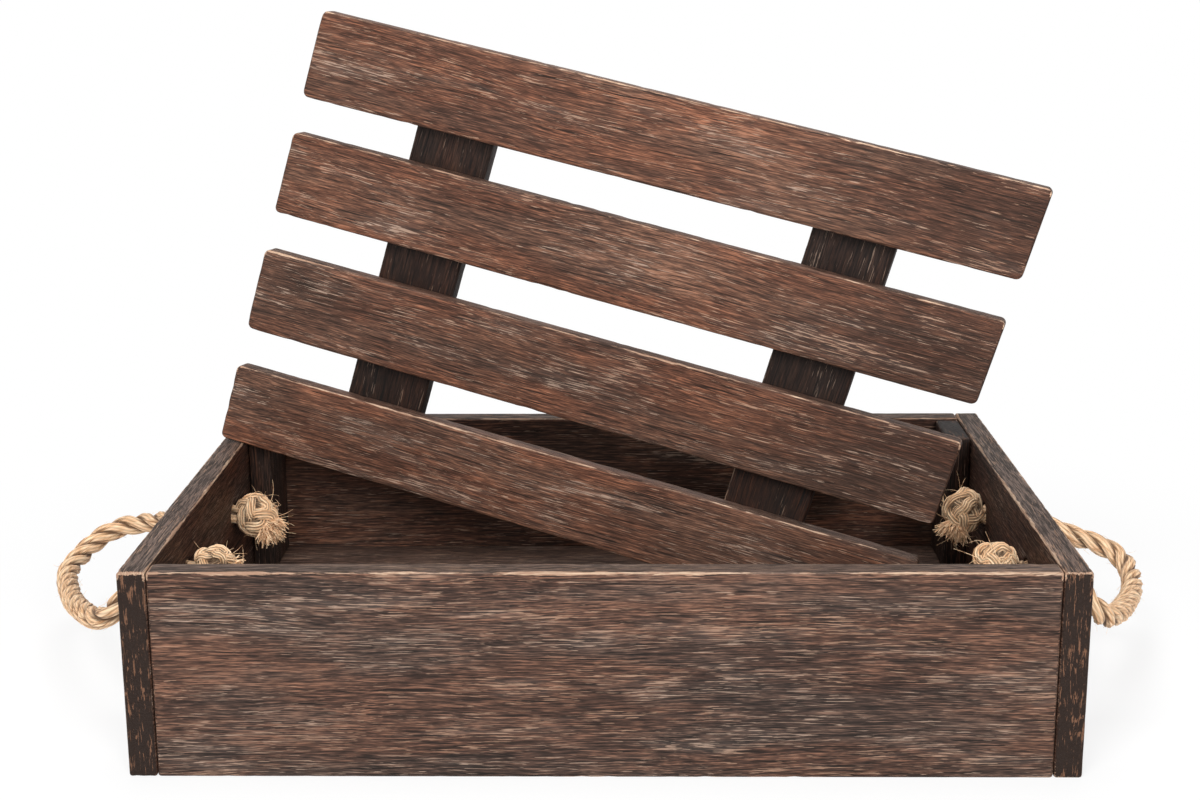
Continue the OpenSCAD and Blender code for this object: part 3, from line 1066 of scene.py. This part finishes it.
def make_screws(node, pattern, material):
    """All screws of one CAD node, each a copy of the modelled head with a thread of its length"""
    parts = []
    for head, axis, length in screw_places(node):
        copy = add_object("part", pattern.data.copy())
        turn = UP.rotation_difference(axis).to_matrix().to_4x4()
        shank = Bundle()
        path = [Vector((0, 0, -2.8 * MM - (length - HEAD_HEIGHT) * k / THREAD_STEPS))
                for k in range(THREAD_STEPS + 1)]
        ridge = [1.0 if k % 2 else 0.82 for k in range(THREAD_STEPS + 1)]
        shank.sweep(path, lambda t: (SHANK_RADIUS * ridge[round(t * THREAD_STEPS)]
                                     * min(1, (1.02 - t) * 6)), 12)
        body = mesh_object("shank", shank.points, shank.faces)
        join_objects([copy, body])
        copy.data.transform(Matrix.Translation(head) @ turn)
        parts.append(copy)
    obj = join_objects(parts)
    obj.name = obj.data.name = node + "_heads"
    obj.data.materials.clear()
    obj.data.materials.append(material)
    shade(obj, 30)
    return finish_piece(obj, "screw_steel", node)


# Operators, one for each group of like pieces

CAMERA_PLACE = (0.0153, -1.2918, 0.5114)
# Degrees of pitch down, yaw and roll
CAMERA_ANGLES = (13.777, 0.911, 0.288)
CAMERA_SHIFT = (0.0010, 0.0014)


class CRATE_OT_camera(bpy.types.Operator):
    """Stands the camera where the crate is seen from the front and a little above"""
    bl_idname = "crate.camera"
    bl_label = "Camera"

    def execute(self, context):
        studio = settings()[2]
        data = bpy.data.cameras.new("front_camera")
        data.sensor_width = 36
        data.lens = studio.lens
        data.shift_x, data.shift_y = CAMERA_SHIFT
        data.clip_end = 50
        camera = add_object("front_camera", data)
        pitch, yaw, roll = (math.radians(a) for a in CAMERA_ANGLES)
        turn = Euler((math.pi / 2 - pitch, 0, yaw)).to_matrix() @ Matrix.Rotation(-roll, 3, "Z")
        camera.matrix_world = Matrix.Translation(CAMERA_PLACE) @ turn.to_4x4()
        context.scene.camera = camera
        return {"FINISHED"}


class CRATE_OT_rope_handles(bpy.types.Operator):
    """Lays the two rope handles and ties their stopper knots"""
    bl_idname = "crate.rope_handles"
    bl_label = "Rope handles"

    def execute(self, context):
        for side_name in ("left", "right"):
            strands, fuzz, path = make_rope(side_name)
            side = LOOPS[side_name][0]
            with_pieces = [fuzz]
            for k, end in enumerate(("rear", "front")):
                knot, hairs = make_knot(side_name + "_" + end, side, HOLES[end],
                                        21 + 2 * k + (side > 0))
                with_pieces += [knot, hairs]
                # The first knot stands for the CAD node of both
                both = () if k else (side_name + "_rope_knots",)
                finish_piece(knot, "jute", *both)
        return {"FINISHED"}


class CRATE_OT_walls(bpy.types.Operator):
    """Makes the front, back and end boards"""
    bl_idname = "crate.walls"
    bl_label = "Walls"

    def execute(self, context):
        outer = stained_timber("Worn stain", depth=0.53, wear=0.74)
        # The inner faces are less worn, and are painted darker than the outer ones as shade
        inner = stained_timber("Unworn stain inside with painted shade", depth=0.42, streaks=0.3, wear=0.6, grey=0.4,
                               contrast=3.6, warmth=0.18)
        heads = {side: [] for side in (-1, 1)}
        for node in SCREW_GROUPS[:3]:
            for head, axis, _ in screw_places(node):
                side = 1 if axis.x > 0 else -1
                middle = Vector((side * HALF_LENGTH, head.y, head.z))
                heads[side].append((middle, axis, *HEAD_HOLE))
        make_board("front_board", (0, -1, 0), (outer, inner), 3, inside=(0, 1, 0))
        make_board("back_board", (0, 1, 0), (outer, inner), 4, inside=(0, -1, 0))
        for seed, (node, side) in enumerate((("left_end_board", -1), ("right_end_board", 1))):
            holes = [((side * (HALF_LENGTH - WALL / 2), *hole), (1, 0, 0), *ROPE_HOLE)
                     for hole in HOLES.values()]
            make_board(node, (side, 0, 0), (outer, inner), 5 + seed, holes=holes + heads[side],
                       inside=(-side, 0, 0))
        return {"FINISHED"}


class CRATE_OT_floor_boards(bpy.types.Operator):
    """Makes the floor boards and the two rear cleats"""
    bl_idname = "crate.floor_boards"
    bl_label = "Floor and cleats"

    def execute(self, context):
        floor = stained_timber("Unworn stain floor", depth=0.5, streaks=0.4, wear=0.2, grey=1.0,
                               red=0.4, contrast=3.4)
        # The cleats in the rear corners are painted very dark as shade
        shaded = stained_timber("Unworn stain cleats with painted shade", depth=0.2, streaks=0.2, wear=0.2, grey=0.3,
                                warmth=0.1)
        for k in range(1, 5):
            make_board(f"floor_board_{k}", (0, 0, 1), (floor,), 10 + k, arris=1.4 * MM)
        make_board("rear_left_cleat", (1, 0, 0), (shaded,), 16)
        make_board("rear_right_cleat", (-1, 0, 0), (shaded,), 17)
        return {"FINISHED"}


class CRATE_OT_lid(bpy.types.Operator):
    """Makes the lid's slats and battens"""
    bl_idname = "crate.lid"
    bl_label = "Slatted lid"

    def execute(self, context):
        timber = settings()[0]
        # The slats get painted shade towards their far ends
        outer = stained_timber("Worn stain slats", depth=0.8, streaks=0.35, wear=0.62, grey=0.5,
                               width=1.3 * MM, contrast=3.0, warmth=0.17, far_shade=0.5)
        # The battens under the slats are painted very dark as shade
        batten = stained_timber("Unworn stain battens with painted shade", depth=0.12, streaks=0.15, wear=0.25,
                                grey=0.3, contrast=3.0, warmth=0.2)
        for k in range(1, 5):
            make_board(f"lid_slat_{k}", (0, -1, 0), (outer,), 20 + k, corner=timber.corner,
                       arris=1.7 * MM)
        heads = [(head, axis, *HEAD_HOLE) for head, axis, _ in screw_places("lid_screws")]
        for k, node in enumerate(("lid_batten_left", "lid_batten_right")):
            board = Board(node, (0, 1, 0))
            mine = [h for h in heads
                    if (np.abs(board.local(np.array([h[0][:]]))[0]) < np.array(board.size)).all()]
            make_board(node, (0, 1, 0), (batten,), 30 + k, holes=mine)
        return {"FINISHED"}


class CRATE_OT_screws(bpy.types.Operator):
    """Drives the screws of the corners, floor, cleats and lid"""
    bl_idname = "crate.screws"
    bl_label = "Screws"

    def execute(self, context):
        pattern = model_screw()
        material = screw_material()
        for node in SCREW_GROUPS:
            make_screws(node, pattern, material)
        bpy.data.objects.remove(pattern)
        return {"FINISHED"}


# Name, place, diameter and watts of each light, and the point that all of them look at
LIGHTS = (
    ("key_light", (-0.8, -1.9, 2.1), 1.0, 42),
    ("fill_light", (0.7, -2.2, 1.0), 0.6, 30),
    ("front_light", (-0.5, -2.4, 0.8), 0.9, 14),
    ("top_light", (0.0, 0.4, 2.6), 1.6, 30),
)
LIT_POINT = Vector((0, 0, 0.12))
# Metres from the middle between which the floor fades to white, and the shares of white there
FLOOR_FADE = (0.35, 0.75, 0.80, 1.0)
WORLD_STRENGTH = 0.17
WHITE = (1, 1, 1, 1)


def show_white(tree, output, lit, white, share=1.0):
    """By a share, the camera sees a surface plain white, also in a mirror and through glass"""
    rays = add_node(tree, "ShaderNodeLightPath").outputs
    seen = math_node(tree, "MAXIMUM", rays["Is Camera Ray"], math_node(
        tree, "MAXIMUM", rays["Is Glossy Ray"], rays["Is Transmission Ray"]))
    plain = add_node(tree, white, {"Color": WHITE, "Strength": 1.0})
    mixed = add_node(tree, "ShaderNodeMixShader", {0: times(tree, seen, share), 1: lit.outputs[0],
                                                   2: plain.outputs[0]})
    tree.links.new(mixed.outputs[0], tree.nodes[output].inputs["Surface"])


class CRATE_OT_stage(bpy.types.Operator):
    """Lays the pale floor and lights the crate softly from the front and above"""
    bl_idname = "crate.stage"
    bl_label = "Stage"

    def execute(self, context):
        studio = settings()[2]
        scene = context.scene
        floor = add_primitive("plane", size=24)
        floor.name = floor.data.name = "studio_floor"
        material, tree, shader = new_material("Pale floor")
        set_inputs(tree, shader, {"Base Color": tinted(studio.floor), "Roughness": 0.9,
                                  "Specular IOR Level": 0.0})
        place = add_node(tree, "ShaderNodeTexCoord").outputs["Object"]
        away = add_node(tree, "ShaderNodeVectorMath", {0: place}, operation="LENGTH")
        show_white(tree, "Material Output", shader, "ShaderNodeEmission",
                   ramp(tree, away.outputs["Value"], *FLOOR_FADE))
        floor.data.materials.append(material)

        world = bpy.data.worlds.new("studio")
        scene.world = world
        world.use_nodes = True
        light = world.node_tree.nodes["Background"]
        set_inputs(world.node_tree, light, {"Color": WHITE, "Strength": WORLD_STRENGTH})
        show_white(world.node_tree, "World Output", light, "ShaderNodeBackground")
        for name, place, size, power in LIGHTS:
            data = bpy.data.lights.new(name, "AREA")
            data.shape = "DISK"
            data.size = size
            data.energy = power
            lamp = add_object(name, data)
            lamp.location = place
            aim = LIT_POINT - Vector(place)
            lamp.rotation_euler = aim.to_track_quat("-Z", "Y").to_euler()
        scene.view_settings.view_transform = "Standard"
        return {"FINISHED"}


class CRATE_PT_panel(bpy.types.Panel):
    """Lists the crate's pieces and their sizes and colours"""
    bl_label = "Timber crate"
    bl_idname = "CRATE_PT_panel"
    bl_space_type = "VIEW_3D"
    bl_region_type = "UI"
    bl_category = "Crate"

    def draw(self, context):
        for group in settings():
            box = self.layout.box()
            for name in group.bl_rna.properties.keys():
                if name not in ("rna_type", "name"):
                    box.prop(group, name)
        for operator in STEPS:
            self.layout.operator(operator.bl_idname)


# The camera and the ropes come first
STEPS = (CRATE_OT_camera, CRATE_OT_rope_handles, CRATE_OT_walls, CRATE_OT_floor_boards,
         CRATE_OT_lid, CRATE_OT_screws, CRATE_OT_stage)
CLASSES = (TimberSettings, RopeSettings, StudioSettings, *STEPS, CRATE_PT_panel)


def register():
    for cls in CLASSES:
        bpy.utils.register_class(cls)
    bpy.types.Scene.crate_timber = PointerProperty(type=TimberSettings)
    bpy.types.Scene.crate_rope = PointerProperty(type=RopeSettings)
    bpy.types.Scene.crate_studio = PointerProperty(type=StudioSettings)


def unregister():
    del bpy.types.Scene.crate_timber
    del bpy.types.Scene.crate_rope
    del bpy.types.Scene.crate_studio
    for cls in reversed(CLASSES):
        bpy.utils.unregister_class(cls)


def main():
    register()
    for operator in STEPS:
        group, name = operator.bl_idname.split(".")
        getattr(getattr(bpy.ops, group), name)()


if __name__ == "__main__":
    main()
